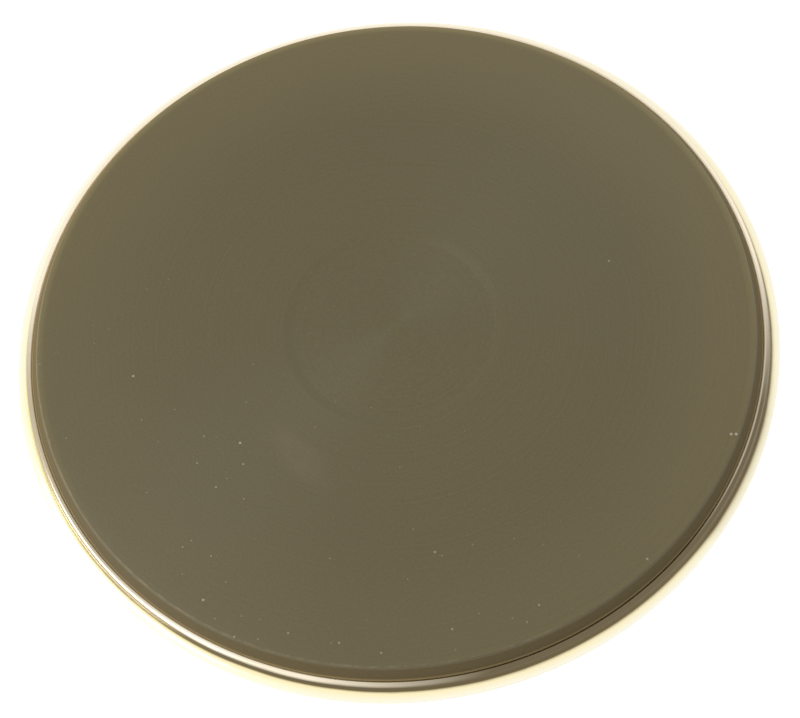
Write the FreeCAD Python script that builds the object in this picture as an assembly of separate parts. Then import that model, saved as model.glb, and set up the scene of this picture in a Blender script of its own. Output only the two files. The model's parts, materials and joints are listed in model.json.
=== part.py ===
import FreeCAD, Part
import math
import os
from FreeCAD import Vector

# A sealed electric cooking plate that drops into a round hole in a hob.
# Sizes are in millimetres. The hob's surface is z = 0, the cooking face is above it,
# and the terminals are below it, on the -Y side.

# Cooking face
face_radius = 90.0
face_height = 8.0
face_edge_round = 0.35
recess_radius = 27.6
recess_depth = 0.4
recess_slope = 2.4
recess_round = 5.0
slab_thickness = 5.2

# Side wall that leans outwards from the face to the ring's seat
side_wall_spread = 2.1
side_wall_drop = 4.2

# Seat of the spill ring, and the shoulder that its inner leg stands on
shoulder_height = -1.0
shoulder_width = 1.1
ring_fit = 0.1

# Deep outer rim of the casting
rim_depth = 12.5
rim_thickness = 4.8
rim_draft = 1.5
rim_round = 0.8
shoulder_thickness = 1.6

# Ledge inside the rim that the bottom cover bears on
ledge_depth = 9.0
ledge_width = 1.6
cover_fit = 0.3

# Ribs and coil grooves on the underside, counted from the rim inwards
groove_width = 7.2
groove_round = 1.6
rib_thickness = 2.6
rib_draft = 0.3
rib_end_depth = 6.8
rib_end_round = 0.6
inner_wall_thickness = 3.2

# Boss in the hollow middle, with the stud in it
boss_radius = 9.0
boss_depth = 8.5
boss_root_round = 2.0
boss_end_round = 0.8
stud_radius = 3.0
stud_engagement = 9.0
stud_tip_depth = 36.0
stud_chamfer = 0.6

# Spill ring, folded from one strip of sheet
ring_sheet = 0.5
ring_height = 4.4
bead_radius = 0.55
ring_leg_lean = 0.5
flare_radius = 2.1
lip_reach = 2.35

# Heating coils, each laid out and back in two grooves that lie side by side
circuit_names = ["outer_heating_coil", "middle_heating_coil", "inner_heating_coil"]
coil_radius = 2.6
coil_depth = 1.4
turn_offset = 10.5
lead_angle = 40.0
bed_cover = 0.6

# Leads from the coil ends to the terminals
lead_names = ["first_lead", "second_lead", "third_lead", "fourth_lead"]
lead_radius = 0.8
link_radius = 1.0
lead_bend = 1.8
lead_gap_width = 5.0
lead_run_depth = 10.4
lead_stand_off = 8.0
lead_entry = 5.0

# Bottom cover
cover_sheet = 0.6
cover_bend = 1.2
pad_radius = 16.0
pad_slope = 4.0
plateau_depth = 13.3
lip_width = 2.6
lip_slope = 3.0
stud_hole_fit = 0.3

# Stiffening beads pressed down into the cover
stiffener_angles = [0, 45, 90, 135, 180]
stiffener_start = 29.0
stiffener_end = 72.0
stiffener_width = 8.0
stiffener_height = 1.8

# Ceramic bushes round the leads
bush_bore_fit = 0.15
bush_wall = 1.7
bush_flange = 1.6
bush_flange_height = 1.2
bush_length = 5.2
bush_hole_fit = 0.15
bush_end_round = 0.5
bush_flange_round = 0.4

# Spring washer, and the hexagon collar of the stud that presses on it
washer_thickness = 1.6
washer_width = 2.6
washer_split = 14.0
collar_flats = 10.0
collar_height = 4.0

# Earth tag
tag_thickness = 0.8
tag_eye_radius = 6.5
tag_reach = 12.6
tag_blade_width = 6.3
tag_blade_drop = 15.0
tag_bend = 1.3
tag_hole_radius = 0.8
tag_hole_inset = 3.5

# Terminal bracket
bracket_sheet = 1.0
bracket_width = 12.0
bracket_flat = 9.0
bracket_ramp = 4.5
bracket_bend = 1.6
bracket_clearance = 2.0
bracket_lip = 4.0
bracket_lip_bend = 0.6
bracket_lip_fit = 0.3

# Terminal block, with one cell for each terminal and one in the middle for the rivet
block_inset = 9.0
chamber_wall = 2.65
block_base_step = 1.7
block_base_height = 4.5
block_shoulder = 1.5
block_height = 14.0
block_round = 1.0
cell_pitch = 9.8
barrier_thickness = 1.8
barrier_height = 2.0
end_wall = 1.4
cells = [-2, -1, 0, 1, 2]

# Clamps and screws
clamp_length = 12.0
clamp_width = 6.4
clamp_height = 7.6
clamp_round = 0.6
clamp_fit = 0.15
chamber_floor = 3.6
wire_bore_radius = 1.9
wire_bore_offset = 3.2
wire_entry = 6.0
lead_bore_fit = 0.1
screw_radius = 1.75
screw_head_radius = 2.9
screw_head_height = 2.2
screw_slot_width = 0.8
screw_slot_depth = 1.0
screw_tip_clearance = 0.1
screw_head_round = 0.4
screw_slot_turn = 40.0

# Rivet
rivet_radius = 1.7
rivet_bore_radius = 1.1
rivet_fit = 0.1
rivet_head_radius = 3.0
rivet_head_height = 0.7
rivet_seat_radius = 3.6
rivet_grip = 6.0
rivet_head_round = 0.3

# Heights and radii that follow from the sizes above
seat_radius = face_radius + side_wall_spread
shoulder_radius = seat_radius + shoulder_width
rim_inner_radius = seat_radius - rim_thickness
ledge_radius = rim_inner_radius + ledge_width
groove_floor = face_height - slab_thickness
groove_pitch = groove_width + rib_thickness
boss_end = -boss_depth
bed_bottom = -rib_end_depth - bed_cover
coil_height = -coil_depth
groove_count = 2 * len(circuit_names)
plateau_under = -plateau_depth - cover_sheet / 2
bracket_top = plateau_under - bracket_clearance
block_top = bracket_top - bracket_sheet
block_bottom = block_top - block_height
chamber_top = block_top - chamber_floor
clamp_bottom = chamber_top - clamp_height
wire_height = chamber_top - wire_bore_offset
terminal_cells = [index for index in cells if index != 0]
block_length = len(cells) * cell_pitch + 2 * end_wall
block_centre = ledge_radius - block_inset - block_length / 2
block_width = clamp_length + 2 * clamp_fit + 2 * chamber_wall
block_base_width = block_width + 2 * block_base_step
lead_exit_x = block_base_width / 2 + lead_stand_off
full_turn = 360.0
touching = 1e-6


def groove_radius(index):
    """Middle radius of a coil groove, index 0 being the one next to the rim."""
    return rim_inner_radius - groove_width / 2 - index * groove_pitch


def round_the_plate(radius, angle, height):
    """A point at an angle in degrees, measured from the terminal side towards +X."""
    turn = math.radians(angle)
    return Vector(radius * math.sin(turn), -radius * math.cos(turn), height)


def rounded_wire(corners, closed=True):
    """A wire through (point, radius) corners, with an arc of that radius at each corner."""
    count = len(corners)
    joints = []
    for i, (point, radius) in enumerate(corners):
        is_end = not closed and i in (0, count - 1)
        if is_end or radius == 0:
            joints.append((point, None, point))
            continue
        back = (corners[i - 1][0] - point).normalize()
        onward = (corners[(i + 1) % count][0] - point).normalize()
        half = back.getAngle(onward) / 2
        reach = radius / math.tan(half)
        depth = radius / math.sin(half) - radius
        middle = point + (back + onward).normalize() * depth
        joints.append((point + back * reach, middle, point + onward * reach))
    edges = []
    for i, (start, middle, end) in enumerate(joints):
        if middle is not None:
            edges.append(Part.Arc(start, middle, end).toShape())
        if i == count - 1 and not closed:
            break
        following = joints[(i + 1) % count][0]
        if end.distanceToPoint(following) > touching:
            edges.append(Part.LineSegment(end, following).toShape())
    return Part.Wire(edges)


def corner(point):
    """A profile corner as (across, up, radius), where the radius may be left out."""
    return point if len(point) == 3 else (point[0], point[1], 0)


def turned(profile, sweep=full_turn, start=0.0):
    """A solid of revolution about Z, from a closed (radius, height) profile."""
    corners = []
    for point in profile:
        across, up, radius = corner(point)
        corners.append((round_the_plate(across, start, up), radius))
    face = Part.Face(rounded_wire(corners))
    return face.revolve(Vector(0, 0, 0), Vector(0, 0, 1), sweep)


def extruded_across(profile, width):
    """A closed (y, height) profile, extruded along X and centred on x = 0."""
    corners = []
    for point in profile:
        along, up, radius = corner(point)
        corners.append((Vector(-width / 2, along, up), radius))
    return Part.Face(rounded_wire(corners)).extrude(Vector(width, 0, 0))


def folded_sheet(path, thickness):
    """The closed outline of a folded sheet, from the corners of its middle line.

    Each corner of the path is (across, up, bend radius of the middle line). The two sides run
    half the thickness away, so their corners lie on the mitres and their radii differ by it.
    """
    half = thickness / 2
    path = [corner(point) for point in path]
    headings = []
    for start, end in zip(path, path[1:]):
        headings.append(Vector(end[0] - start[0], end[1] - start[1], 0).normalize())
    left = []
    right = []
    for i, (across, up, radius) in enumerate(path):
        before = headings[max(i - 1, 0)]
        after = headings[min(i, len(headings) - 1)]
        mitre = Vector(-before.y - after.y, before.x + after.x, 0) * (half / (1 + before.dot(after)))
        turn = before.cross(after).z
        lean = 0 if radius == 0 else math.copysign(half, turn)
        left.append((across + mitre.x, up + mitre.y, max(radius - lean, 0)))
        right.append((across - mitre.x, up - mitre.y, max(radius + lean, 0)))
    return left + right[::-1]


def rod(radius, start, end):
    """A round bar between two points."""
    return Part.makeCylinder(radius, (end - start).Length, start, end - start)


def block(width, depth, height, centre_x, centre_y, bottom):
    """A plain block, placed by the middle of its lower face."""
    corner_point = Vector(centre_x - width / 2, centre_y - depth / 2, bottom)
    return Part.makeBox(width, depth, height, corner_point)


def cell_y(index):
    """The middle of a cell of the terminal block."""
    return -block_centre + index * cell_pitch


def lead_start_radius(index):
    """Where a lead stands: at the first and last groove, and between the circuits."""
    if index == 0:
        return groove_radius(0)
    if index == len(lead_names) - 1:
        return groove_radius(groove_count - 1)
    return (groove_radius(2 * index - 1) + groove_radius(2 * index)) / 2


def coil_end_angle(groove):
    """How far round a coil ends, where it touches its lead or the bar between two circuits."""
    half_width = lead_radius if groove in (0, groove_count - 1) else link_radius
    return math.degrees(math.asin(half_width / (groove_radius(groove) - coil_radius)))


def plate_section():
    """Half of the casting's section, from the middle of the face round to the boss."""
    outline = [
        (0, face_height - recess_depth),
        (recess_radius - recess_slope, face_height - recess_depth, recess_round),
        (recess_radius, face_height, recess_round),
        (face_radius, face_height, face_edge_round),
        (seat_radius, face_height - side_wall_drop),
        (seat_radius, shoulder_height),
        (shoulder_radius, shoulder_height),
        (shoulder_radius, shoulder_height - shoulder_thickness),
        (shoulder_radius - rim_draft, -rim_depth, rim_round),
        (ledge_radius, -rim_depth, rim_round),
        (ledge_radius, -ledge_depth),
        (rim_inner_radius, -ledge_depth),
    ]
    for index in range(groove_count):
        outer = groove_radius(index) + groove_width / 2
        inner = groove_radius(index) - groove_width / 2
        wall = inner_wall_thickness if index == groove_count - 1 else rib_thickness
        outline.append((outer, groove_floor, groove_round))
        outline.append((inner, groove_floor, groove_round))
        outline.append((inner - rib_draft, -rib_end_depth, rib_end_round))
        outline.append((inner - wall + rib_draft, -rib_end_depth, rib_end_round))
    outline.append((inner - wall, groove_floor, groove_round))
    outline.append((boss_radius, groove_floor, boss_root_round))
    outline.append((boss_radius, boss_end, boss_end_round))
    outline.append((0, boss_end))
    return outline


def rib_gap(index, from_angle, to_angle):
    """The space between two angles in the rib on the inner side of a groove."""
    outer = groove_radius(index)
    inner = groove_radius(index + 1)
    below = -rib_end_depth - bed_cover
    profile = [(outer, groove_floor), (outer, below), (inner, below), (inner, groove_floor)]
    return turned(profile, to_angle - from_angle, from_angle)


def make_plate_body():
    body = turned(plate_section())
    gaps = []
    for index in range(groove_count - 1):
        middle = groove_radius(index) - groove_pitch / 2
        if index % 2 == 0:
            opening = math.degrees(math.asin(turn_offset / middle))
            gaps.append(rib_gap(index, lead_angle - opening, lead_angle))
        else:
            opening = math.degrees(math.asin(lead_gap_width / 2 / middle))
            gaps.append(rib_gap(index, lead_angle - opening, lead_angle + opening))
    stud_hole = rod(stud_radius, Vector(0, 0, boss_end), Vector(0, 0, boss_end + stud_engagement))
    return body.cut(gaps + [stud_hole])


def make_spill_ring():
    leg = seat_radius + ring_fit + ring_sheet / 2
    crown = ring_height - ring_sheet / 2
    outer_leg = leg + 2 * bead_radius
    seat = ring_sheet / 2
    path = [
        (leg, shoulder_height),
        (leg, crown, bead_radius),
        (outer_leg, crown, bead_radius),
        (outer_leg + ring_leg_lean, seat, flare_radius),
        (outer_leg + ring_leg_lean + lip_reach, seat),
    ]
    return turned(folded_sheet(path, ring_sheet))


def make_heating_coil(circuit):
    """One circuit as the outer shape of its wound wire: two long arcs and the turn between."""
    outer = groove_radius(2 * circuit)
    inner = groove_radius(2 * circuit + 1)
    middle = (outer + inner) / 2
    turn_angle = math.degrees(math.asin(turn_offset / middle))
    pieces = []
    for groove in (2 * circuit, 2 * circuit + 1):
        end_angle = coil_end_angle(groove)
        centre = round_the_plate(groove_radius(groove), lead_angle + end_angle, coil_height)
        along = round_the_plate(1, lead_angle + end_angle + 90, 0)
        section = Part.Face(Part.Wire(Part.makeCircle(coil_radius, centre, along)))
        sweep = full_turn - end_angle - turn_angle
        pieces.append(section.revolve(Vector(0, 0, 0), Vector(0, 0, 1), sweep))
    start = round_the_plate(outer, lead_angle - turn_angle, coil_height)
    along = round_the_plate(1, lead_angle - turn_angle + 90, 0)
    section = Part.Face(Part.Wire(Part.makeCircle(coil_radius, start, along)))
    turn_centre = round_the_plate(middle, lead_angle - turn_angle, coil_height)
    pieces.append(section.revolve(turn_centre, Vector(0, 0, 1), 180))
    return pieces[0].fuse(pieces[1:]).removeSplitter()


def lead_path(index):
    """From the coil end down out of the filling, across the gap, down through the cover and in."""
    radius = lead_start_radius(index)
    entry_y = cell_y(terminal_cells[index])
    start = round_the_plate(radius, lead_angle, coil_height)
    return [
        (start, 0),
        (Vector(start.x, start.y, -lead_run_depth), lead_bend),
        (Vector(lead_exit_x, entry_y, -lead_run_depth), lead_bend),
        (Vector(lead_exit_x, entry_y, wire_height), lead_bend),
        (Vector(clamp_length / 2 - lead_entry, entry_y, wire_height), 0),
    ]


def make_lead(index):
    path = lead_path(index)
    start = path[0][0]
    section = Part.Wire(Part.makeCircle(lead_radius, start, Vector(0, 0, -1)))
    lead = rounded_wire(path, closed=False).makePipeShell([section], True, False)
    if 0 < index < len(lead_names) - 1:
        outer = round_the_plate(groove_radius(2 * index - 1), lead_angle, coil_height)
        inner = round_the_plate(groove_radius(2 * index), lead_angle, coil_height)
        lead = lead.fuse(rod(link_radius, outer, inner))
    return lead


def make_insulating_bed(plate, coils, leads):
    """The filling takes the shape of the grooves, the coils and the leads that stand in it."""
    outer = rim_inner_radius + rim_thickness / 2
    inner = groove_radius(groove_count - 1) - groove_width / 2 - inner_wall_thickness / 2
    above = groove_floor + slab_thickness / 2
    profile = [(outer, above), (inner, above), (inner, bed_bottom), (outer, bed_bottom)]
    return turned(profile).cut([plate] + coils + leads)


def lead_exits():
    """The upper and lower ends of the leads' straight way through the cover."""
    return [(path[2][0], path[3][0]) for path in map(lead_path, range(len(lead_names)))]


def capsule(radius, start, end):
    """A rod with a ball at each end."""
    return rod(radius, start, end).fuse([Part.makeSphere(radius, start), Part.makeSphere(radius, end)])


def press_stiffener(cover, angle):
    """Presses one long bead down into the flat part of the cover."""
    half_width = stiffener_width / 2
    radius = (half_width ** 2 + stiffener_height ** 2) / (2 * stiffener_height)
    height = -plateau_depth - stiffener_height + radius
    start = round_the_plate(stiffener_start + half_width, 90 + angle, height)
    end = round_the_plate(stiffener_end - half_width, 90 + angle, height)
    outside = capsule(radius + cover_sheet / 2, start, end)
    inside = capsule(radius - cover_sheet / 2, start, end)
    span = 2 * ledge_radius
    below = block(span, span, radius * 2, 0, 0, plateau_under + cover_sheet - radius * 2)
    return cover.cut(outside).fuse(outside.cut(inside).common(below))


def make_bottom_cover():
    half = cover_sheet / 2
    lip_radius = ledge_radius - cover_fit
    path = [
        (stud_radius + stud_hole_fit, boss_end - half),
        (pad_radius, boss_end - half, cover_bend),
        (pad_radius + pad_slope, -plateau_depth, cover_bend),
        (lip_radius - lip_width - lip_slope, -plateau_depth, cover_bend),
        (lip_radius - lip_width, -ledge_depth - half, cover_bend),
        (lip_radius, -ledge_depth - half),
    ]
    cover = turned(folded_sheet(path, cover_sheet))
    for angle in stiffener_angles:
        cover = press_stiffener(cover, angle)
    hole_radius = lead_radius + bush_bore_fit + bush_wall + bush_hole_fit
    return cover.cut([rod(hole_radius, upper, lower) for upper, lower in lead_exits()])


def make_lead_bushes():
    bore = lead_radius + bush_bore_fit
    barrel = bore + bush_wall
    seat = plateau_under + cover_sheet
    profile = [
        (bore, seat + bush_flange_height),
        (bore, seat + bush_flange_height - bush_length),
        (barrel, seat + bush_flange_height - bush_length, bush_end_round),
        (barrel, seat),
        (barrel + bush_flange, seat),
        (barrel + bush_flange, seat + bush_flange_height, bush_flange_round),
    ]
    bushes = []
    for upper, lower in lead_exits():
        bush = turned(profile)
        bush.translate(Vector(upper.x, upper.y, 0))
        bushes.append(bush)
    return Part.makeCompound(bushes)


def make_centre_stud():
    """A stud threaded at both ends, with a hexagon collar that clamps the stack to the boss."""
    profile = [
        (0, boss_end + stud_engagement),
        (stud_radius - stud_chamfer, boss_end + stud_engagement),
        (stud_radius, boss_end + stud_engagement - stud_chamfer),
        (stud_radius, -stud_tip_depth + stud_chamfer),
        (stud_radius - stud_chamfer, -stud_tip_depth),
        (0, -stud_tip_depth),
    ]
    top = boss_end - cover_sheet - bracket_sheet - tag_thickness - washer_thickness
    bottom = top - collar_height
    flat = collar_flats / 2
    half_side = full_turn / 12
    tip = flat / math.cos(math.radians(half_side))
    hexagon = Part.makePolygon([round_the_plate(tip, 2 * half_side * side, bottom) for side in range(7)])
    prism = Part.Face(hexagon).extrude(Vector(0, 0, collar_height))
    chamfer = (tip - flat) * math.tan(math.radians(half_side))
    barrel = [
        (0, top),
        (flat, top),
        (tip, top - chamfer),
        (tip, bottom + chamfer),
        (flat, bottom),
        (0, bottom),
    ]
    return turned(profile).fuse(prism.common(turned(barrel)))


def make_terminal_bracket():
    middle = boss_end - cover_sheet - bracket_sheet / 2
    arm = bracket_top - bracket_sheet / 2
    lip_y = -block_centre - block_length / 2 - bracket_lip_fit - bracket_sheet / 2
    path = [
        (bracket_width / 2, middle),
        (-bracket_flat, middle, bracket_bend),
        (-bracket_flat - bracket_ramp, arm, bracket_bend),
        (lip_y, arm, bracket_lip_bend),
        (lip_y, arm - bracket_lip),
    ]
    strip = extruded_across(folded_sheet(path, bracket_sheet), bracket_width)
    half = bracket_width / 2
    far = lip_y - bracket_sheet
    corners = [(half, 0), (half, far), (-half, far), (-half, 0)]
    sides = Part.makePolygon([Vector(x, y, block_bottom) for x, y in corners])
    end = Part.Arc(sides.Vertexes[3].Point, Vector(0, half, block_bottom), sides.Vertexes[0].Point)
    plan = Part.Face(Part.Wire(sides.Edges + [end.toShape()]))
    shape = plan.extrude(Vector(0, 0, -block_bottom))
    stud_hole = rod(stud_radius + stud_hole_fit, Vector(0, 0, block_bottom), Vector(0, 0, 0))
    rivet_axis = Vector(0, cell_y(0), block_bottom)
    rivet_hole = rod(rivet_radius + rivet_fit, rivet_axis, Vector(0, cell_y(0), 0))
    return strip.common(shape).cut([stud_hole, rivet_hole])


def make_earth_tag():
    middle = boss_end - cover_sheet - bracket_sheet - tag_thickness / 2
    tip = middle - tag_blade_drop
    path = [
        (-tag_eye_radius, middle),
        (tag_reach, middle, tag_bend),
        (tag_reach, tip),
    ]
    strip = extruded_across(folded_sheet(path, tag_thickness), 2 * tag_eye_radius)
    eye = rod(tag_eye_radius, Vector(0, 0, tip), Vector(0, 0, 0))
    neck_length = tag_reach + tag_thickness
    neck = block(tag_blade_width, neck_length, -tip, 0, neck_length / 2, tip)
    stud_hole = rod(stud_radius + stud_hole_fit, Vector(0, 0, tip), Vector(0, 0, 0))
    hole_start = Vector(0, tag_reach - tag_thickness, tip + tag_hole_inset)
    latch_hole = rod(tag_hole_radius, hole_start, hole_start + Vector(0, 2 * tag_thickness, 0))
    return strip.common(eye.fuse(neck)).cut([stud_hole, latch_hole])


def make_spring_washer():
    top = boss_end - cover_sheet - bracket_sheet - tag_thickness
    inner = stud_radius + stud_hole_fit
    outer = inner + washer_width
    bottom = top - washer_thickness
    profile = [(inner, top), (outer, top), (outer, bottom), (inner, bottom)]
    return turned(profile, full_turn - washer_split, washer_split / 2)


def make_terminal_block():
    base = block_base_width / 2
    body = block_width / 2
    shoulder = block_top - block_base_height
    section = [
        (-base, block_top),
        (base, block_top),
        (base, shoulder),
        (body, shoulder - block_shoulder),
        (body, block_bottom, block_round),
        (-body, block_bottom, block_round),
        (-body, shoulder - block_shoulder),
        (-base, shoulder),
    ]
    corners = []
    for point in section:
        across, up, radius = corner(point)
        corners.append((Vector(across, -block_centre - block_length / 2, up), radius))
    ceramic = Part.Face(rounded_wire(corners)).extrude(Vector(0, block_length, 0))
    cell_width = cell_pitch - barrier_thickness
    hollows = []
    for index in cells:
        hollows.append(block(block_base_width, cell_width, barrier_height, 0, cell_y(index), block_bottom))
    for index in terminal_cells:
        y = cell_y(index)
        length = clamp_length + 2 * clamp_fit
        width = clamp_width + 2 * clamp_fit
        hollows.append(block(length, width, chamber_top - block_bottom, 0, y, block_bottom))
        outside = block_base_width / 2
        hollows.append(block(outside, width, chamber_top - block_bottom, -outside / 2, y, block_bottom))
        lead_way = lead_radius + bush_bore_fit
        hollows.append(rod(lead_way, Vector(0, y, wire_height), Vector(outside, y, wire_height)))
    y = cell_y(0)
    rivet_seat = bracket_top - rivet_grip
    hollows.append(rod(rivet_radius + rivet_fit, Vector(0, y, block_bottom), Vector(0, y, block_top)))
    hollows.append(rod(rivet_seat_radius, Vector(0, y, block_bottom), Vector(0, y, rivet_seat)))
    return ceramic.cut(hollows)


def make_terminal_clamps():
    clamps = []
    for index in terminal_cells:
        y = cell_y(index)
        brass = block(clamp_length, clamp_width, clamp_height, 0, y, clamp_bottom)
        long_edges = [edge for edge in brass.Edges if abs(edge.tangentAt(0).x) > 0.9]
        brass = brass.makeFillet(clamp_round, long_edges)
        half = clamp_length / 2
        wire_end = Vector(wire_entry - half, y, wire_height)
        lead_end = Vector(half - lead_entry, y, wire_height)
        wire_bore = rod(wire_bore_radius, Vector(-half, y, wire_height), wire_end)
        lead_bore = rod(lead_radius + lead_bore_fit, lead_end, Vector(half, y, wire_height))
        thread = rod(screw_radius, Vector(screw_x(), y, clamp_bottom), Vector(screw_x(), y, wire_height))
        clamps.append(brass.cut([wire_bore, lead_bore, thread]))
    return Part.makeCompound(clamps)


def screw_x():
    """The screw bears on the wire, half way along the wire's bore."""
    return (wire_entry - clamp_length) / 2


def make_terminal_screws():
    tip = wire_height - wire_bore_radius - screw_tip_clearance
    profile = [
        (0, tip),
        (screw_radius, tip),
        (screw_radius, clamp_bottom),
        (screw_head_radius, clamp_bottom),
        (screw_head_radius, clamp_bottom - screw_head_height, screw_head_round),
        (0, clamp_bottom - screw_head_height),
    ]
    slot_bottom = clamp_bottom - screw_head_height
    slot = block(screw_slot_width, 2 * screw_head_radius, screw_slot_depth, 0, 0, slot_bottom)
    screws = []
    for index in terminal_cells:
        screw = turned(profile).cut(slot)
        screw.rotate(Vector(0, 0, 0), Vector(0, 0, 1), screw_slot_turn * index)
        screw.translate(Vector(screw_x(), cell_y(index), 0))
        screws.append(screw)
    return Part.makeCompound(screws)


def make_block_rivet():
    seat = bracket_top - rivet_grip
    profile = [
        (rivet_bore_radius, bracket_top + rivet_head_height),
        (rivet_head_radius, bracket_top + rivet_head_height, rivet_head_round),
        (rivet_head_radius, bracket_top),
        (rivet_radius, bracket_top),
        (rivet_radius, seat),
        (rivet_head_radius, seat),
        (rivet_head_radius, seat - rivet_head_height, rivet_head_round),
        (rivet_bore_radius, seat - rivet_head_height),
    ]
    rivet = turned(profile)
    rivet.translate(Vector(0, cell_y(0), 0))
    return rivet


def make_all():
    plate = make_plate_body()
    coils = [make_heating_coil(circuit) for circuit in range(len(circuit_names))]
    leads = [make_lead(index) for index in range(len(lead_names))]
    parts = {
        "plate_body": plate,
        "spill_ring": make_spill_ring(),
        "insulating_bed": make_insulating_bed(plate, coils, leads),
        "lead_bushes": make_lead_bushes(),
        "bottom_cover": make_bottom_cover(),
        "centre_stud": make_centre_stud(),
        "spring_washer": make_spring_washer(),
        "earth_tag": make_earth_tag(),
        "terminal_bracket": make_terminal_bracket(),
        "terminal_block": make_terminal_block(),
        "terminal_clamps": make_terminal_clamps(),
        "terminal_screws": make_terminal_screws(),
        "block_rivet": make_block_rivet(),
    }
    parts.update(zip(circuit_names, coils))
    parts.update(zip(lead_names, leads))
    return parts


os.makedirs("parts", exist_ok=True)
for name, shape in make_all().items():
    shape.exportStep(f"parts/{name}.step")
    print(name, "solids", len(shape.Solids), "valid", shape.isValid(), "volume", round(shape.Volume, 1))
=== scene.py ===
import json
import math
import bpy
import numpy as np
from mathutils import Matrix, Vector


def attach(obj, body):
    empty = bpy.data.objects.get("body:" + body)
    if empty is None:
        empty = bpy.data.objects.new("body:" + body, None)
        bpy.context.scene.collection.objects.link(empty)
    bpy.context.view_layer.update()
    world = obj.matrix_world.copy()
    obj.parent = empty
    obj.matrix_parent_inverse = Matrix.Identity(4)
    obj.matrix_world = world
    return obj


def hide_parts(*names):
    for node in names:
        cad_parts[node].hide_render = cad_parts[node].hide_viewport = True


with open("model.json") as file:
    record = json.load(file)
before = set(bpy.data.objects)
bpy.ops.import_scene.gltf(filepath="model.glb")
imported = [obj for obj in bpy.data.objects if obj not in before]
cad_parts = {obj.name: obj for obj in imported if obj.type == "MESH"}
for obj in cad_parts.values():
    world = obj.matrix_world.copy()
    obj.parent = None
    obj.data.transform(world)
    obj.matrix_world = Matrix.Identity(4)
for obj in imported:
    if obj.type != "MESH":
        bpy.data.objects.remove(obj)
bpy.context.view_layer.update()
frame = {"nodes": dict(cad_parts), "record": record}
mm = 0.001
nodes = frame["nodes"]
print("frame loaded:", len(nodes), "nodes")


camera = {
    "distance": 650.7,  # from the middle of the cooking face, mm
    "elevation": 62.18,  # above the horizon, degrees
    "aim": (0.4, -9.26, 8.0),
    "faceHeight": 8.0,
    "lens": 117.0,  # mm, with the sensor's width
    "sensor": 36.0,
    "roll": 9.08,
    "clipStart": 0.01,
}


# stands the camera on its orbit, aims it, and turns it about its own axis by the roll
def placeCamera(c):
    up = math.radians(c["elevation"])
    place = Vector((0, -c["distance"] * math.cos(up), c["faceHeight"] + c["distance"] * math.sin(up)))
    ahead = (Vector(c["aim"]) - place).normalized()
    right = ahead.cross(Vector((0, 0, 1))).normalized()
    down = ahead.cross(right)
    turn = math.radians(c["roll"])
    rolledRight = math.cos(turn) * right + math.sin(turn) * down
    rolledDown = -math.sin(turn) * right + math.cos(turn) * down
    axes = Matrix((rolledRight, -rolledDown, -ahead)).transposed().to_4x4()
    lens = bpy.data.cameras.new("photoCamera")
    lens.lens = c["lens"]
    lens.sensor_width = c["sensor"]
    lens.clip_start = c["clipStart"]
    lens.dof.use_dof = False
    body = bpy.data.objects.new("photoCamera", lens)
    body.matrix_world = Matrix.Translation(place * mm) @ axes
    bpy.context.scene.collection.objects.link(body)
    bpy.context.scene.camera = body


placeCamera(camera)
bpy.context.scene.view_settings.view_transform = "Standard"
print("camera placed")


# a mesh object from a grid of points (rows, columns, 3) in mm: neighbours in the grid share a face,
# wrapU or wrapV joins its last row or column to the first, and points that coincide are merged
def gridMesh(name, points, wrapU=False, wrapV=False, flip=False, sharp=35.0):
    rows, columns = points.shape[:2]
    u = np.arange(rows if wrapU else rows - 1)
    v = np.arange(columns if wrapV else columns - 1)
    u, v = np.meshgrid(u, v, indexing="ij")
    uNext, vNext = (u + 1) % rows, (v + 1) % columns
    corners = [u * columns + v, uNext * columns + v, uNext * columns + vNext, u * columns + vNext]
    faces = np.stack([c.ravel() for c in corners], 1)
    return meshFrom(name, points.reshape(-1, 3), faces[:, ::-1] if flip else faces, sharp)


# joins points closer than a micron, drops the faces that collapse, and makes the object
def meshFrom(name, points, faces, sharp=35.0):
    keys = np.round(points / 0.001).astype(np.int64)
    _, first, back = np.unique(keys, axis=0, return_index=True, return_inverse=True)
    points = points[first] * mm
    faces = back.reshape(-1)[faces]
    mesh = bpy.data.meshes.new(name)
    same = np.stack([faces[:, i] == faces[:, (i + 1) % 4] for i in range(4)], 1)
    quads = faces[same.sum(1) == 0]
    rolled = faces[same.sum(1) == 1]
    start = same[same.sum(1) == 1].argmax(1)
    pick = (start[:, None] + np.array([1, 2, 3])) % 4
    triangles = np.take_along_axis(rolled, pick, 1)
    mesh.from_pydata(points, [], quads.tolist() + triangles.tolist())
    mesh.update()
    mesh.shade_smooth()
    mesh.set_sharp_from_angle(angle=math.radians(sharp))
    piece = bpy.data.objects.new(name, mesh)
    bpy.context.scene.collection.objects.link(piece)
    return piece


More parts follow.
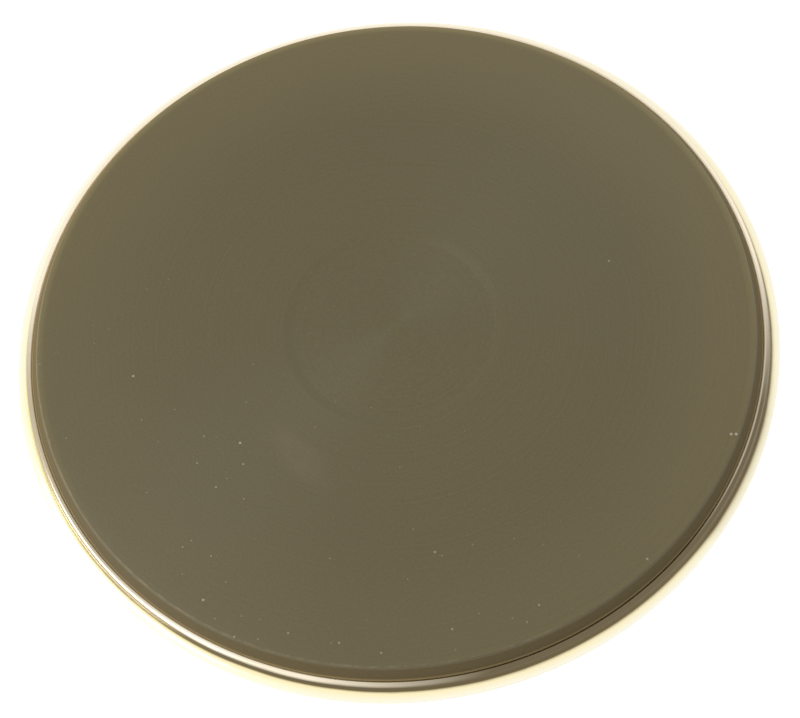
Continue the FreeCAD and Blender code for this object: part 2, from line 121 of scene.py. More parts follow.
# the corners (across, up, radius) of a section become points: an arc of that radius replaces
# each corner, and long straight runs are divided so that no step is longer than the given one
def roundedSection(corners, arcSteps=6, longest=4.0, closed=True):
    count = len(corners)
    spots = [np.array(c[:2], float) for c in corners]
    radii = [c[2] if len(c) > 2 else 0 for c in corners]
    chains = []
    for i in range(count):
        if radii[i] == 0 or (not closed and i in (0, count - 1)):
            chains.append(spots[i][None])
            continue
        back = spots[i - 1] - spots[i]
        onward = spots[(i + 1) % count] - spots[i]
        back, onward = back / np.linalg.norm(back), onward / np.linalg.norm(onward)
        half = math.acos(np.clip(back @ onward, -1, 1)) / 2
        reach = radii[i] / math.tan(half)
        middle = spots[i] + (back + onward) / np.linalg.norm(back + onward) * radii[i] / math.sin(half)
        begin, end = spots[i] + back * reach - middle, spots[i] + onward * reach - middle
        span = math.pi - 2 * half
        t = np.linspace(0, 1, arcSteps + 1)[:, None]
        chains.append(middle + (np.sin((1 - t) * span) * begin + np.sin(t * span) * end) / math.sin(span))
    points = []
    for i in range(count):
        points.append(chains[i])
        if i == count - 1 and not closed:
            break
        a, b = chains[i][-1], chains[(i + 1) % count][0]
        steps = int(np.ceil(np.linalg.norm(b - a) / longest))
        if steps > 1:
            points.append(a + (b - a) * np.linspace(0, 1, steps + 1)[1:-1, None])
    return np.concatenate(points)


# a section (radius, height) turned about Z: x = r sin t, y = -r cos t, z = h
def turnedGrid(section, segments, start=0.0, sweep=360.0):
    whole = abs(sweep - 360) < 1e-6
    t = np.radians(start + np.linspace(0, sweep, segments + (0 if whole else 1), endpoint=not whole))
    r, h = section[:, 0][:, None], section[:, 1][:, None]
    return np.stack([r * np.sin(t), -r * np.cos(t), h + 0 * t], 2)


# both sides of a folded sheet from the corners of its middle line, as one closed section
def sheetSection(path, thickness):
    half = thickness / 2
    path = [tuple(p) + (0,) * (3 - len(p)) for p in path]
    spots = np.array([p[:2] for p in path])
    ways = np.diff(spots, axis=0)
    ways /= np.linalg.norm(ways, axis=1)[:, None]
    left, right = [], []
    for i, (across, up, radius) in enumerate(path):
        before, after = ways[max(i - 1, 0)], ways[min(i, len(ways) - 1)]
        mitre = np.array([-before[1] - after[1], before[0] + after[0]]) * half / (1 + before @ after)
        turn = before[0] * after[1] - before[1] * after[0]
        lean = 0 if radius == 0 else math.copysign(half, turn)
        left.append((across + mitre[0], up + mitre[1], max(radius - lean, 0)))
        right.append((across - mitre[0], up - mitre[1], max(radius + lean, 0)))
    return left + right[::-1]


# rides on the part's body, takes the place of its node, and wears the given material
def install(piece, material, slotName, *replaced):
    piece.data.materials.append(material)
    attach(piece, "root")
    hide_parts(*replaced)
    return piece


# adds one node; words fill its options and sockets, and sources are joined to its sockets
def addNode(tree, kind, settings=None, links=None):
    node = tree.nodes.new("ShaderNode" + kind)
    for key, value in (settings or {}).items():
        if isinstance(key, str) and hasattr(node, key):
            setattr(node, key, value)
        else:
            node.inputs[key].default_value = value
    for key, source in (links or {}).items():
        tree.links.new(source, node.inputs[key])
    return node


def newMaterial(name, shaderValues):
    material = bpy.data.materials.new(name)
    material.use_nodes = True
    tree = material.node_tree
    shader = tree.nodes["Principled BSDF"]
    for key, value in shaderValues.items():
        shader.inputs[key].default_value = value
    place = addNode(tree, "TexCoord").outputs["Object"]
    return material, tree, shader, place


def rgb(color):
    return (*color, 1.0)


def noiseOf(tree, place, scale, detail=4.0, roughness=0.55, distortion=0.0):
    settings = {"Scale": scale, "Detail": detail, "Roughness": roughness, "Distortion": distortion}
    return addNode(tree, "TexNoise", settings, {"Vector": place}).outputs["Fac"]


# noise that changes only with the distance from the axis
def noiseByRadius(tree, radius, scale):
    settings = {"noise_dimensions": "1D", "Scale": scale, "Detail": 3.0}
    return addNode(tree, "TexNoise", settings, {"W": radius}).outputs["Fac"]


def calc(tree, operation, a, b=None, c=None, clamp=False):
    settings, links = {"operation": operation, "use_clamp": clamp}, {}
    for i, value in enumerate((a, b, c)):
        if isinstance(value, (int, float)):
            settings[i] = value
        elif value is not None:
            links[i] = value
    return addNode(tree, "Math", settings, links).outputs[0]


def times(tree, a, b):
    return calc(tree, "MULTIPLY", a, b)


def plus(tree, a, b, clamp=False):
    return calc(tree, "ADD", a, b, clamp=clamp)


# how far a place lies from the axis along one direction, m
def alongWay(tree, place, way):
    settings = {"operation": "DOT_PRODUCT", 1: (*way, 0.0)}
    return addNode(tree, "VectorMath", settings, {0: place}).outputs["Value"]


# takes a value from one range to another, held at its ends
def spread(tree, value, fromLow, fromHigh, toLow=0.0, toHigh=1.0, smooth=False):
    settings = {"From Min": fromLow, "From Max": fromHigh, "To Min": toLow, "To Max": toHigh}
    settings["interpolation_type"] = "SMOOTHSTEP" if smooth else "LINEAR"
    return addNode(tree, "MapRange", settings, {"Value": value}).outputs["Result"]


def blendColors(tree, share, a, b, kind="MIX"):
    settings, links = {"data_type": "RGBA", "blend_type": kind}, {}
    for key, value in ((0, share), (6, a), (7, b)):
        if isinstance(value, (int, float)):
            settings[key] = value
        elif isinstance(value, tuple):
            settings[key] = rgb(value)
        else:
            links[key] = value
    return addNode(tree, "Mix", settings, links).outputs[2]


def bumpOf(tree, height, distance, strength=1.0, under=None):
    links = {"Height": height}
    if under is not None:
        links["Normal"] = under
    return addNode(tree, "Bump", {"Distance": distance, "Strength": strength}, links).outputs["Normal"]


# distance from the Z axis, and the way out from it, across the grooves that a lathe leaves
def roundZ(tree, place):
    flat = addNode(tree, "VectorMath", {"operation": "MULTIPLY", 1: (1, 1, 0)}, {0: place}).outputs[0]
    radius = addNode(tree, "VectorMath", {"operation": "LENGTH"}, {0: flat}).outputs["Value"]
    outward = addNode(tree, "VectorMath", {"operation": "NORMALIZE"}, {0: flat}).outputs[0]
    return radius, outward


castIron = {
    "faceColor": (0.0975, 0.0778, 0.0312),
    "wallColor": (0.082, 0.059, 0.018),
    "gapPaintedLight": (0.4, 0.3, 0.13),  # painted light at the foot of the wall, lifting the shade in the gap under the ring
    "gapLightShare": 0.5,
    "roughColor": (0.052, 0.045, 0.036),  # as cast, below the ring
    "dustColor": (0.5, 0.46, 0.36),
    # worn metal on the face's edge, in part a painted glint
    "wearGlintColor": (0.42, 0.37, 0.26),
    "palePatchColor": (0.56, 0.45, 0.35),
    "ior": 1.5,
    "roughness": 0.46,
    "anisotropy": 0.55,
    "rimPaintedHighlight": 0.2,  # painted highlight: the face is lighter towards its edge, most at the back right
    "edgePaintedGlare": 0.8,  # painted glare: paler still in the last two millimetres and on the wall at the back
    # heights where one finish gives way to another, m
    "faceFrom": (0.0070, 0.0074),
    "edgeFrom": (0.0074, 0.0077),
    "wallFrom": (0.002, 0.003),
    "gapFrom": (0.0047, 0.0042),
    "seatFrom": (-0.0012, -0.0006),
    # radii of the same, m
    "highlightFrom": (0.055, 0.09),
    "glareFrom": (0.0878, 0.0901),
    "wornGlintFrom": (0.0897, 0.0899),
    "wornGlintTo": (0.09025, 0.0901),
    # cells a metre
    "lineScale": 1500.0,
    "broadScale": 260.0,
    "patchScale": 18.0,
    "grainScale": 1500.0,
    "dustScale": 260.0,
    "raggedScale": 5000.0,
    "wearGlintScale": 330.0,
    "sandScale": 900.0,
    # depths, m
    "markDepth": 0.00004,
    "sandDepth": 0.0004,
    "palePatch": {"middle": (-28.0, -31.0), "turn": 54.0, "reach": (15.0, 6.0),  # mm, degrees, mm
               "share": 0.038, "patchScale": 160.0},
    "brightSpeck": 0.3,  # specks of this radius or more are plain, the smaller ones faint
    # (x, y, radius) of the larger dust specks, mm
    "specks": (
        (-66.1, -2.1, 0.3), (-41.7, -25.1, 0.3), (-50.3, -21.7, 0.22), (-52.8, -28.7, 0.2),
        (-41.6, -30.9, 0.26), (-48.9, -35.9, 0.28), (-42.5, -40.2, 0.2), (-55.2, -64.7, 0.3),
        (-48.9, -75.3, 0.26), (-36.1, -76.5, 0.22), (-24.5, -81.0, 0.28), (-15.0, -85.2, 0.24),
        (-52.1, -53.7, 0.2), (-58.6, -50.2, 0.2), (1.3, -62.0, 0.28), (2.4, -82.1, 0.26),
        (20.1, -83.3, 0.2), (23.6, -79.6, 0.24), (50.8, -72.4, 0.28), (56.3, 8.7, 0.26),
        (76.8, -43.8, 0.34), (78.0, -44.0, 0.36),
    ),
}


# an oval paler patch on the face, strongest in its middle and broken up by noise
def palePatchOf(tree, place, s):
    middle = tuple(v * mm for v in s["middle"]) + (0.0,)
    away = addNode(tree, "VectorMath", {"operation": "SUBTRACT", 1: middle}, {0: place}).outputs[0]
    settings = {"rotation_type": "Z_AXIS", "Angle": math.radians(s["turn"])}
    turned = addNode(tree, "VectorRotate", settings, {"Vector": away}).outputs[0]
    shrink = (1000 / s["reach"][0], 1000 / s["reach"][1], 0.0)
    scaled = addNode(tree, "VectorMath", {"operation": "MULTIPLY", 1: shrink}, {0: turned}).outputs[0]
    far = addNode(tree, "VectorMath", {"operation": "LENGTH"}, {0: scaled}).outputs["Value"]
    broken = spread(tree, noiseOf(tree, place, s["patchScale"], 4.0, 0.65), 0.3, 0.62, 0.25, 1.0)
    patchShare = times(tree, spread(tree, far, 0.15, 1.0, 1.0, 0.0, smooth=True), broken)
    return times(tree, patchShare, s["share"])


# fine dust, thicker where the region is higher, and the larger specks one by one
def dustOf(tree, place, grain, region, c):
    settings = {"Scale": c["dustScale"], "Randomness": 1.0}
    cells = addNode(tree, "TexVoronoi", settings, {"Vector": place}).outputs["Distance"]
    dust = times(tree, spread(tree, cells, 0.025, 0.06, 0.4, 0.0), region)
    ragged = calc(tree, "MULTIPLY_ADD", noiseOf(tree, place, c["raggedScale"], 1.0), 0.0003, -0.00015)
    for x, y, size in c["specks"]:
        if size < c["brightSpeck"]:
            share = spread(tree, grain, 0.4, 0.6, 0.35, 0.55)
        else:
            share = 2.1 * size
        settings = {"operation": "DISTANCE", 1: (x * mm, y * mm, 0.008)}
        gap = addNode(tree, "VectorMath", settings, {0: place}).outputs["Value"]
        one = spread(tree, plus(tree, gap, ragged), size * mm * 0.7, size * mm * 1.15, 1.0, 0.0)
        dust = calc(tree, "MAXIMUM", dust, times(tree, one, share))
    return dust


# turned and coated on top, as cast below: lathe marks by radius, dust, a pale patch, worn metal and a painted
# glint on the face's edge, a painted highlight and painted glare towards the edge, and painted light at the
# foot of the wall
def makeCastIron(c):
    plain = {"Anisotropic": c["anisotropy"], "IOR": c["ior"]}
    material, tree, shader, place = newMaterial("coatedCastIron", plain)
    radius, outward = roundZ(tree, place)
    split = addNode(tree, "SeparateXYZ", {}, {0: place})
    height = split.outputs["Z"]
    isFace = spread(tree, height, *c["faceFrom"])
    isOutside = spread(tree, height, *c["seatFrom"])
    lines = noiseByRadius(tree, radius, c["lineScale"])
    broad = noiseByRadius(tree, radius, c["broadScale"])
    patches = noiseOf(tree, place, c["patchScale"], 3.0)
    grain = noiseOf(tree, place, c["grainScale"], 3.0, 0.7)
    markShare = times(tree, spread(tree, patches, 0.35, 0.7, 0.25, 1.0), isFace)
    marks = times(tree, calc(tree, "MULTIPLY_ADD", broad, 0.8, lines), markShare)

    tone = calc(tree, "MULTIPLY_ADD", patches, 0.12, 0.94)
    tone = plus(tree, tone, spread(tree, grain, 0.3, 0.7, -0.1, 0.1))
    tone = plus(tree, tone, times(tree, spread(tree, lines, 0.3, 0.7, -0.05, 0.05), markShare))
    acrossPlate = plus(tree, split.outputs["X"], split.outputs["Y"])
    # painted highlight: the face is lighter towards its edge, most at the back right
    lift = spread(tree, radius, *c["highlightFrom"], 0.0, c["rimPaintedHighlight"], smooth=True)
    tone = plus(tree, tone, times(tree, lift, spread(tree, acrossPlate, -0.1, 0.1, 0.5, 1.4)))
    # painted glare in the last two millimetres of the face and on the wall at the back
    paintedGlare = spread(tree, radius, *c["glareFrom"], 0.0, c["edgePaintedGlare"], smooth=True)
    paintedGlare = times(tree, paintedGlare, spread(tree, split.outputs["Y"], -0.05, 0.07, 0.05, 1.0))
    tone = plus(tree, tone, times(tree, paintedGlare, spread(tree, height, *c["wallFrom"])))
    toneColor = addNode(tree, "CombineColor", {}, {0: tone, 1: tone, 2: tone}).outputs[0]
    # painted light: the foot of the wall is made lighter, to lift the shade in the gap under the bead
    gapLight = times(tree, spread(tree, height, *c["gapFrom"], 0.0, c["gapLightShare"]), isOutside)
    wall = blendColors(tree, gapLight, c["wallColor"], c["gapPaintedLight"])
    color = blendColors(tree, isFace, wall, c["faceColor"])
    color = blendColors(tree, isOutside, c["roughColor"], color)
    color = blendColors(tree, 1.0, color, toneColor, "MULTIPLY")
    patchShare = palePatchOf(tree, place, c["palePatch"])
    color = blendColors(tree, times(tree, patchShare, isFace), color, c["palePatchColor"])
    region = spread(tree, acrossPlate, 0.01, -0.08, 0.15, 1.0)  # thicker towards the front left
    dust = dustOf(tree, place, grain, region, c)
    color = blendColors(tree, times(tree, dust, isFace), color, c["dustColor"])

    # paler in places along the edge of the face: worn metal, and in part a painted glint
    onEdge = times(tree, spread(tree, radius, *c["wornGlintFrom"]), spread(tree, radius, *c["wornGlintTo"]))
    onEdge = times(tree, onEdge, spread(tree, height, *c["edgeFrom"]))
    wornGlint = spread(tree, noiseOf(tree, place, c["wearGlintScale"], 5.0, 0.7), 0.45, 0.6)
    wornGlint = times(tree, times(tree, wornGlint, onEdge), spread(tree, region, 0.5, 1.0, 0.03, 0.14))
    color = blendColors(tree, wornGlint, color, c["wearGlintColor"])
    tree.links.new(color, shader.inputs["Base Color"])

    rough = calc(tree, "MULTIPLY_ADD", patches, 0.12, c["roughness"] - 0.06)
    rough = plus(tree, rough, times(tree, calc(tree, "SUBTRACT", 1.0, isFace), 0.25))
    rough = plus(tree, rough, times(tree, dust, 0.3), clamp=True)
    tree.links.new(rough, shader.inputs["Roughness"])
    tree.links.new(outward, shader.inputs["Tangent"])
    sand = noiseOf(tree, place, c["sandScale"], 4.0, 0.6)
    sandShare = spread(tree, isOutside, 0.0, 1.0, 1.0, 0.12)
    normal = bumpOf(tree, times(tree, sand, sandShare), c["sandDepth"])
    normal = bumpOf(tree, marks, c["markDepth"], 1.0, normal)
    tree.links.new(normal, shader.inputs["Normal"])
    return material


sheetSteel = {
    "color": (0.98, 0.88, 0.62),
    "cloudShade": 0.9,
    "crownColor": (0.97, 0.865, 0.67),
    # painted shade on the crown at the front right, for the dark surroundings it reflects
    "paintedCrownShade": (0.165, 0.13, 0.075),
    # painted shade on the crown at the left
    "paintedLeftCrownShade": (0.55, 0.47, 0.33),
    "lipColor": (1.0, 0.88, 0.54),
    # painted reflection: the back of the lip and its outer edge are paler
    "backLipReflection": (1.0, 0.95, 0.78),
    "lipEdgeReflection": (1.0, 0.96, 0.78),
    "wallColor": (0.14, 0.107, 0.055),  # painted shade on the upright wall, standing in for the dark surroundings it reflects
    "underColor": (0.66, 0.64, 0.59),  # bare steel on the hidden side
    "roughness": 0.22,
    "anisotropy": 0.35,
    "lineScale": 2600.0,
    "cloudScale": 45.0,
    "lineDepth": 0.000012,
    # directions across the plate, seen from above
    "front": (0.26, -0.966),
    "side": (0.966, 0.26),
    "frontRight": (0.6, -0.8),
    # heights, m: the painted shade starts and ends, the crown starts, the lip is reached
    "wallShadeFrom": (0.0009, 0.0016),
    "wallShadeTo": (0.0042, 0.0036),
    "crownFrom": (0.0036, 0.0042),
    "crownShadeFrom": (0.0030, 0.0038),
    "lipFrom": (0.0019, 0.0009),
    # radii, m: the inner flank of the bead, and the lip's outer part
    "flankFrom": (0.0929, 0.0926),
    "lipEdgeFrom": (0.0944, 0.0960),
    # distances along the side direction, m, and how much the painted shade sinks between them
    "slants": (
        (-0.06, 0.06, -0.00045, 0.0003),
        (0.03, 0.065, 0.0, 0.00025),
        (0.07, 0.088, 0.0, -0.00035),
    ),
}


# bright folded sheet: fine lines by radius, clouds, painted shade on the wall and crown, a lip painted paler
# by reflection and dull
def makeSheetSteel(c):
    plain = {"Metallic": 1.0, "Anisotropic": c["anisotropy"]}
    material, tree, shader, place = newMaterial("stainlessSheet", plain)
    radius, outward = roundZ(tree, place)
    tree.links.new(outward, shader.inputs["Tangent"])
    height = addNode(tree, "SeparateXYZ", {}, {0: place}).outputs["Z"]
    lines = noiseByRadius(tree, radius, c["lineScale"])
    clouds = noiseOf(tree, place, c["cloudScale"], 4.0)
    toFront = alongWay(tree, place, c["front"])
    toSide = alongWay(tree, place, c["side"])
    toRight = alongWay(tree, place, c["frontRight"])

    # painted shade: the upright wall between the bead and the flare is darkened,
    # more at the front, and further down at the right
    level = plus(tree, height, calc(tree, "MULTIPLY_ADD", clouds, 0.0006, -0.0003))
    slanted = level
    for slant in c["slants"]:
        slanted = plus(tree, slanted, spread(tree, toSide, *slant))
    wallShadeShare = times(tree, spread(tree, slanted, *c["wallShadeFrom"]), spread(tree, level, *c["wallShadeTo"]))
    wallShadeShare = times(tree, wallShadeShare, spread(tree, toFront, -0.03, 0.03))
    onCrown = spread(tree, level, *c["crownShadeFrom"])
    crownShadeShare = times(tree, spread(tree, toRight, 0.05, 0.08), onCrown)
    onFlank = times(tree, spread(tree, radius, *c["flankFrom"]), spread(tree, toFront, 0.083, 0.068))
    crownShadeShare = times(tree, crownShadeShare, calc(tree, "MULTIPLY_ADD", onFlank, -0.6, 1.0))
    leftCrownShadeShare = times(tree, spread(tree, toSide, -0.078, -0.09), onCrown)
    shaded = tuple(c["cloudShade"] * v for v in c["color"])
    color = blendColors(tree, spread(tree, clouds, 0.35, 0.7), c["color"], shaded)
    color = blendColors(tree, spread(tree, height, *c["crownFrom"]), color, c["crownColor"])
    # painted shade on the crown at the left, on the upright wall, and on the crown at the front right
    color = blendColors(tree, leftCrownShadeShare, color, c["paintedLeftCrownShade"])
    color = blendColors(tree, wallShadeShare, color, c["wallColor"])
    color = blendColors(tree, crownShadeShare, color, c["paintedCrownShade"])

    # the lip is painted paler at the back and towards its edge, a painted reflection of the white
    # surroundings, and is dull; the hidden side is left bare
    onLip = spread(tree, slanted, *c["lipFrom"])
    lip = blendColors(tree, spread(tree, toFront, -0.02, -0.07), c["lipColor"], c["backLipReflection"])
    lip = blendColors(tree, spread(tree, radius, *c["lipEdgeFrom"]), lip, c["lipEdgeReflection"])
    color = blendColors(tree, onLip, color, lip)
    normal = addNode(tree, "NewGeometry").outputs["Normal"]
    facing = addNode(tree, "SeparateXYZ", {}, {0: normal}).outputs["Z"]
    color = blendColors(tree, spread(tree, facing, -0.1, -0.4), color, c["underColor"])
    tree.links.new(color, shader.inputs["Base Color"])
    dull = calc(tree, "MAXIMUM", times(tree, onFlank, 0.6), times(tree, onLip, 0.12))
    tree.links.new(calc(tree, "SUBTRACT", 1.0, dull), shader.inputs["Metallic"])
    rough = calc(tree, "MULTIPLY_ADD", clouds, 0.16, c["roughness"] - 0.08)
    tree.links.new(rough, shader.inputs["Roughness"])
    fine = times(tree, lines, calc(tree, "MULTIPLY_ADD", onLip, -0.7, 1.0))
    tree.links.new(bumpOf(tree, fine, c["lineDepth"]), shader.inputs["Normal"])
    return material


finish = {
    "spotScale": 14.0,  # the spots are this much finer than the clouds
    "crystalShare": 0.35,
    "crystalRoughness": 0.07,
    "heatColor": (0.3, 0.21, 0.11),
    "heatFrom": (0.05, 0.02),  # radii between which the heat marks grow, m
    "scratchScale": (30, 2400, 2400),
    "leastRoughness": 0.12,
}


# metal sheet, bar and ceramic: clouds and fine spots between two colours, crystals or grains that catch
# the light one by one, scratches along X, and brown heat marks that grow towards the middle of the plate
def makeFinish(name, color, dark, roughness, metallic, scale,
               crystal=0.0, heat=0.0, scratch=0.0, pits=0.00006):
    material, tree, shader, place = newMaterial(name, {"Metallic": metallic})
    clouds = noiseOf(tree, place, scale, 5.0)
    spots = noiseOf(tree, place, scale * finish["spotScale"], 3.0, 0.7)
    share = spread(tree, calc(tree, "MULTIPLY_ADD", spots, 0.5, times(tree, clouds, 0.5)), 0.35, 0.7)
    tone = blendColors(tree, share, color, dark)
    rough = calc(tree, "MULTIPLY_ADD", spots, 0.2, roughness - 0.1)
    if crystal > 0:
        settings = {"Scale": crystal, "Randomness": 1.0}
        cell = addNode(tree, "TexVoronoi", settings, {"Vector": place}).outputs["Color"]
        one = addNode(tree, "SeparateColor", {}, {0: cell}).outputs[0]
        tone = blendColors(tree, times(tree, one, finish["crystalShare"]), tone, dark)
        reach = finish["crystalRoughness"]
        rough = plus(tree, rough, spread(tree, one, 0.0, 1.0, -reach, reach))
    if heat > 0:
        radius = roundZ(tree, place)[0]
        ragged = calc(tree, "MULTIPLY_ADD", clouds, 0.03, radius)
        burnt = spread(tree, ragged, *finish["heatFrom"], 0.0, heat, smooth=True)
        tone = blendColors(tree, burnt, tone, finish["heatColor"])
    if scratch > 0:
        settings = {"operation": "MULTIPLY", 1: finish["scratchScale"]}
        long = addNode(tree, "VectorMath", settings, {0: place}).outputs[0]
        lines = addNode(tree, "TexNoise", {"Scale": 1.0, "Detail": 3.0}, {"Vector": long}).outputs["Fac"]
        rough = plus(tree, rough, spread(tree, lines, 0.55, 0.75, 0.0, scratch))
        tone = blendColors(tree, spread(tree, lines, 0.6, 0.75, 0.0, scratch), tone, dark)
    tree.links.new(tone, shader.inputs["Base Color"])
    tree.links.new(calc(tree, "MAXIMUM", rough, finish["leastRoughness"]), shader.inputs["Roughness"])
    tree.links.new(bumpOf(tree, spots, pits), shader.inputs["Normal"])
    return material


materials = {
    "coated_cast_iron": makeCastIron(castIron),
    "stainless_sheet": makeSheetSteel(sheetSteel),
    "aluminised_sheet": makeFinish("aluminisedSheet", (0.6, 0.59, 0.565), (0.49, 0.475, 0.45), 0.36, 1.0, 40.0,
                                   crystal=600.0, heat=0.55, scratch=0.2, pits=0.000012),
    "zinc_plated_steel": makeFinish("zincPlatedSteel", (0.68, 0.67, 0.62), (0.46, 0.44, 0.38), 0.3, 1.0, 130.0,
                                    heat=0.3),
    "nickel_wire": makeFinish("nickelWire", (0.58, 0.54, 0.47), (0.3, 0.26, 0.22), 0.34, 1.0, 160.0),
    "brass": makeFinish("brass", (0.76, 0.54, 0.22), (0.48, 0.32, 0.13), 0.28, 1.0, 140.0, scratch=0.15),
    "steatite": makeFinish("steatite", (0.8, 0.75, 0.64), (0.64, 0.57, 0.46), 0.5, 0.0, 120.0,
                           crystal=1500.0, pits=0.0001),
    "pressed_filling": makeFinish("pressedFilling", (0.62, 0.6, 0.55), (0.5, 0.48, 0.43), 0.8, 0.0, 80.0,
                                  crystal=1200.0),
    "coil_in_filling": makeFinish("coilInFilling", (0.3, 0.27, 0.24), (0.2, 0.18, 0.16), 0.7, 0.0, 80.0,
                                  crystal=900.0),
}
for row in frame["record"]["subparts"]:
    carried = nodes[row["node"]]
    carried.data.materials.clear()
    carried.data.materials.append(materials[row["material_slot"]])
print("materials made:", len(materials))


# all lengths in mm
casting = {
    "faceRadius": 90.0, "faceHeight": 8.0, "edgeRound": 0.12,
    "recessRadius": 27.6, "recessSlope": 2.4, "recessDepth": 0.3, "recessRound": 5.0,
    "wallSpread": 2.1, "wallDrop": 3.95, "wallRound": 0.3,
    "shoulderHeight": -1.0, "shoulderWidth": 1.1, "shoulderThickness": 1.6,
    "shoulderTopRound": 0.15, "shoulderLowRound": 0.4,
    "rimDepth": 12.5, "rimThickness": 4.8, "rimDraft": 1.5, "rimRound": 0.8,
    "ledgeDepth": 9.0, "ledgeWidth": 1.6,
    "grooveFloor": 2.8, "grooveWidth": 7.2, "grooveRound": 1.6, "grooves": 6,
    "ribThickness": 2.6, "ribDraft": 0.3, "ribEnd": -6.8, "ribRound": 0.6, "innerWall": 3.2,
    "bossRadius": 9.0, "bossEnd": -8.5, "bossRoot": 2.0, "bossRound": 0.8,
    "boreRadius": 3.02, "boreTop": 0.52,
    "segments": 360, "arcSteps": 5, "longestStep": 6.0,
}


# the casting's half section, from the middle of the face round to the bore, turned about Z
def makeCasting(c):
    seat = c["faceRadius"] + c["wallSpread"]
    shoulder = seat + c["shoulderWidth"]
    inside = seat - c["rimThickness"]
    low = c["recessRadius"] - c["recessSlope"]
    corners = [
        (0, c["faceHeight"] - c["recessDepth"]),
        (low, c["faceHeight"] - c["recessDepth"], c["recessRound"]),
        (c["recessRadius"], c["faceHeight"], c["recessRound"]),
        (c["faceRadius"], c["faceHeight"], c["edgeRound"]),
        (seat, c["faceHeight"] - c["wallDrop"], c["wallRound"]),
        (seat, c["shoulderHeight"]),
        (shoulder, c["shoulderHeight"], c["shoulderTopRound"]),
        (shoulder, c["shoulderHeight"] - c["shoulderThickness"], c["shoulderLowRound"]),
        (shoulder - c["rimDraft"], -c["rimDepth"], c["rimRound"]),
        (inside + c["ledgeWidth"], -c["rimDepth"], c["rimRound"]),
        (inside + c["ledgeWidth"], -c["ledgeDepth"]),
        (inside, -c["ledgeDepth"]),
    ]
    for i in range(c["grooves"]):
        outer = inside - i * (c["grooveWidth"] + c["ribThickness"])
        inner = outer - c["grooveWidth"]
        wall = c["innerWall"] if i == c["grooves"] - 1 else c["ribThickness"]
        corners += [
            (outer, c["grooveFloor"], c["grooveRound"]),
            (inner, c["grooveFloor"], c["grooveRound"]),
            (inner - c["ribDraft"], c["ribEnd"], c["ribRound"]),
            (inner - wall + c["ribDraft"], c["ribEnd"], c["ribRound"]),
        ]
    corners += [
        (inner - wall, c["grooveFloor"], c["grooveRound"]),
        (c["bossRadius"], c["grooveFloor"], c["bossRoot"]),
        (c["bossRadius"], c["bossEnd"], c["bossRound"]),
        (c["boreRadius"], c["bossEnd"]),
        (c["boreRadius"], c["boreTop"]),
        (0, c["boreTop"]),
    ]
    section = roundedSection(corners, c["arcSteps"], c["longestStep"], closed=False)
    return gridMesh("castingBody", turnedGrid(section, c["segments"]), wrapV=True)


install(makeCasting(casting), materials["coated_cast_iron"], "coated_cast_iron", "plate_body")
print("casting made")


# all lengths in mm
spillRing = {
    "seat": 92.1, "fit": 0.05, "sheet": 0.5, "height": 4.35, "beadWidth": 0.9,
    "insideRound": 0.15, "outsideRound": 0.6,
    "legLean": 0.75, "flareRadius": 2.1, "lipReach": 2.25, "lipRise": 0.45,
    "foot": -1.0, "segments": 720, "arcSteps": 10, "longestStep": 1.0,
    "shift": (0.01, -0.036, 0.0),  # the loose ring sits against the plate at the back left
}


# the folded sheet's middle line from foot to lip, given its thickness and turned about Z
def makeSpillRing(c):
    leg = c["seat"] + c["fit"] + c["sheet"] / 2
    crown = c["height"] - c["sheet"] / 2
    outerLeg = leg + c["beadWidth"]
    path = [
        (leg, c["foot"]),
        (leg, crown, c["insideRound"]),
        (outerLeg, crown, c["outsideRound"]),
        (outerLeg + c["legLean"], c["sheet"] / 2 + c["lipRise"], c["flareRadius"]),
        (outerLeg + c["legLean"] + c["lipReach"], c["sheet"] / 2),
    ]
    section = roundedSection(sheetSection(path, c["sheet"]), c["arcSteps"], c["longestStep"])
    points = turnedGrid(section, c["segments"]) + np.array(c["shift"])
    return gridMesh("spillRing", points, wrapU=True, wrapV=True, flip=True)


install(makeSpillRing(spillRing), materials["stainless_sheet"], "stainless_sheet", "spill_ring")
print("spill ring made")


# all lengths in mm
stud = {
    "radius": 3.0, "top": 0.5, "tip": -36.0, "chamfer": 0.6, "underCut": 0.8,
    "pitch": 1.0, "threadDepth": 0.6, "crestFlat": 0.12,
    "collarTop": -12.5, "collarHeight": 4.0, "collarFlats": 10.0, "collarChamfer": 0.5,
    "rowsPerTurn": 16, "segments": 72, "sharpFrom": 28.0,  # degrees between faces
}


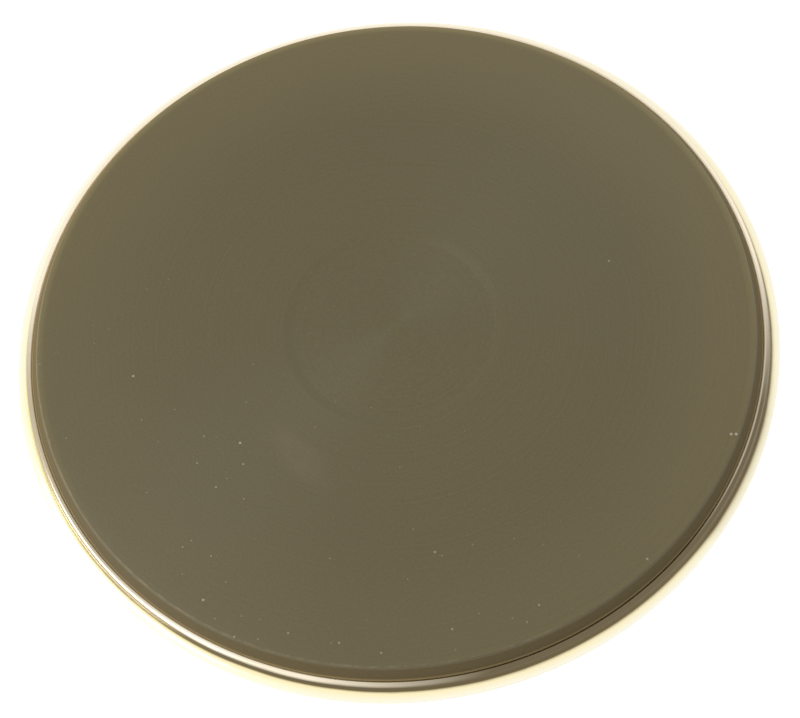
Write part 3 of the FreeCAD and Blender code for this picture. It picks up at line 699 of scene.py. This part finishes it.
# the threaded stud with its hexagon collar, one surface from cap to cap. On the thread the radius is
# r = crest - depth * f(h), h = |2 * frac(z / pitch - t / 2 pi) - 1|, f flat near the crest and straight
# down the flank; on the collar r = flats / 2 / cos(t mod 60 deg - 30 deg), held inside the chamfer's cone
def makeStud(c):
    t = np.linspace(0, 2 * np.pi, c["segments"], endpoint=False)[None]
    low = c["collarTop"] - c["collarHeight"]
    rows = []

    def threadRows(high, end):
        count = int(round((high - end) / c["pitch"] * c["rowsPerTurn"])) + 1
        z = np.linspace(high, end, count)[:, None]
        phase = np.abs(2 * ((z / c["pitch"] - t / (2 * np.pi)) % 1.0) - 1)
        groove = np.clip((phase - c["crestFlat"]) / (1 - 2 * c["crestFlat"]), 0, 1) * c["threadDepth"]
        nearest = np.minimum(np.minimum(high - z, z - end), c["underCut"])
        cone = c["radius"] - c["chamfer"] + nearest / c["underCut"] * c["chamfer"]
        r = np.minimum(c["radius"] - groove, cone)
        return np.stack([r * np.sin(t), -r * np.cos(t), z + 0 * t], 2)

    sixth = math.radians(60)
    flats = c["collarFlats"] / 2 / np.cos(t % sixth - sixth / 2)
    corner = c["collarFlats"] / 2 / math.cos(sixth / 2)
    end, step = corner - c["collarChamfer"], c["collarChamfer"] / 2
    for z, limit in ((c["collarTop"], end), (c["collarTop"] - step, corner), (low + step, corner), (low, end)):
        r = np.minimum(flats, limit)
        rows.append(np.stack([r * np.sin(t), -r * np.cos(t), z + 0 * t], 2))
    upper = threadRows(c["top"], c["collarTop"])
    lower = threadRows(low, c["tip"])
    caps = [np.zeros((1, c["segments"], 3)) + np.array([0, 0, z]) for z in (c["top"], c["tip"])]
    points = np.concatenate([caps[0], upper] + rows + [lower, caps[1]])
    return gridMesh("threadedStud", points, wrapV=True, flip=True, sharp=c["sharpFrom"])


install(makeStud(stud), materials["zinc_plated_steel"], "zinc_plated_steel", "centre_stud")
print("stud made")


studio = {
    "floorDepth": -36.2,  # mm, just below the stud's tip
    "floorColor": (0.9, 0.9, 0.9),
    "floorGlow": 0.62,
    "floorSize": 6.0,  # m, as the lamp's size and distance
    "worldStrength": 0.7,
    "keyPower": 9.0,  # W
    "keyAzimuth": -172.0,  # from +X, counter-clockwise seen from above, degrees
    "keyElevation": 36.0,
    "keyDistance": 1.2,
    "keySize": 0.7,
}


# one look for the camera and another for glossy and transmitted rays, and the plain light for the rest
def lookByRay(tree, plain, toCamera, toGlossy):
    path = addNode(tree, "LightPath")
    through = calc(tree, "MAXIMUM", path.outputs["Is Glossy Ray"], path.outputs["Is Transmission Ray"])
    mirrored = addNode(tree, "MixShader", {}, {0: through, 1: plain, 2: toGlossy}).outputs[0]
    seen = path.outputs["Is Camera Ray"]
    return addNode(tree, "MixShader", {}, {0: seen, 1: mirrored, 2: toCamera}).outputs[0]


def wayTo(azimuth, elevation):
    turn, lift = math.radians(azimuth), math.radians(elevation)
    return Vector((math.cos(turn) * math.cos(lift), math.sin(turn) * math.cos(lift), math.sin(lift)))


def makeStudio(c):
    world = bpy.data.worlds.new("studio")
    bpy.context.scene.world = world
    world.use_nodes = True
    tree = world.node_tree
    tree.nodes.clear()
    paperWhite = rgb((1, 1, 1))
    settings = {"Color": paperWhite, "Strength": c["worldStrength"]}
    plain = addNode(tree, "Background", settings).outputs[0]
    white = addNode(tree, "Background", {"Color": paperWhite, "Strength": 1.0}).outputs[0]
    out = addNode(tree, "OutputWorld")
    tree.links.new(lookByRay(tree, plain, white, white), out.inputs["Surface"])

    half = c["floorSize"] / 2
    mesh = bpy.data.meshes.new("floor")
    z = c["floorDepth"] * mm
    corners = [(-half, -half, z), (half, -half, z), (half, half, z), (-half, half, z)]
    mesh.from_pydata(corners, [], [(0, 1, 2, 3)])
    floor = bpy.data.objects.new("floor", mesh)
    bpy.context.scene.collection.objects.link(floor)
    material = bpy.data.materials.new("paleFloor")
    material.use_nodes = True
    tree = material.node_tree
    tree.nodes.clear()
    paper = addNode(tree, "BsdfDiffuse", {"Color": rgb(c["floorColor"])}).outputs[0]
    glow = addNode(tree, "Emission", {"Color": paperWhite, "Strength": c["floorGlow"]}).outputs[0]
    both = addNode(tree, "AddShader", {}, {0: paper, 1: glow}).outputs[0]
    # from below the floor is clear, so that the underside can be looked at
    under = addNode(tree, "NewGeometry").outputs["Backfacing"]
    clear = addNode(tree, "BsdfTransparent").outputs[0]
    white = addNode(tree, "Emission", {"Color": paperWhite, "Strength": 1.0}).outputs[0]
    lit = lookByRay(tree, paper, both, white)
    out = addNode(tree, "OutputMaterial")
    shown = addNode(tree, "MixShader", {}, {0: under, 1: lit, 2: clear}).outputs[0]
    tree.links.new(shown, out.inputs["Surface"])
    mesh.materials.append(material)

    way = wayTo(c["keyAzimuth"], c["keyElevation"])
    lamp = bpy.data.lights.new("keyLamp", "AREA")
    lamp.shape = "SQUARE"
    lamp.size = c["keySize"]
    lamp.energy = c["keyPower"]
    light = bpy.data.objects.new("keyLamp", lamp)
    light.location = way * c["keyDistance"]
    light.rotation_euler = way.to_track_quat("Z", "Y").to_euler()
    bpy.context.scene.collection.objects.link(light)


makeStudio(studio)
print("studio lit")
